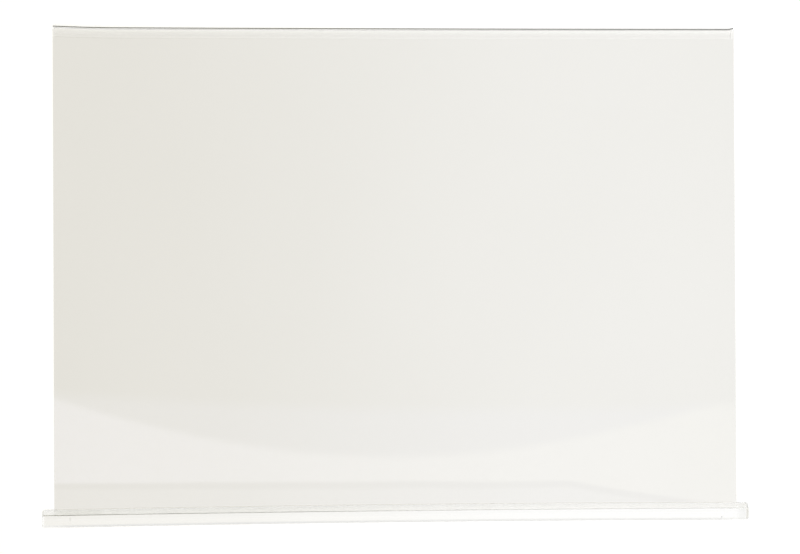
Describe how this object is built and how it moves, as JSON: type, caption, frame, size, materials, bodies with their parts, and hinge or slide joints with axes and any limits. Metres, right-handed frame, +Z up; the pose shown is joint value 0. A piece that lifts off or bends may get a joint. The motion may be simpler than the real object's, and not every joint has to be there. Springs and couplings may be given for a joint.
{
  "type": "sneeze guard",
  "caption": "Clear acrylic buffet sneeze guard: a flat sheet bent into a hook at the top to hang on a round rail, its lower edge set in a slotted round rod.",
  "frame": {"origin": "on the axis of the rail that the hook hangs on, at the middle of the sheet's width", "axes": "+X along the rail and the rod, +Y from the front of the sheet to its rear, +Z up from the rod towards the hook"},
  "size_m": [0.629, 0.0224, 0.446],
  "materials": {
    "clear_sheet": "clear acrylic sheet, polished edges, faint warm tint",
    "clear_rod": "clear acrylic rod, polished, sawn and polished ends",
    "clear_cement": "clear cured acrylic cement, wavy gloss"
  },
  "bodies": {
    "root": {"shield_panel": "clear_sheet", "base_rod": "clear_rod", "cement_bead_front": "clear_cement", "cement_bead_rear": "clear_cement"}
  },
  "joints": []
}
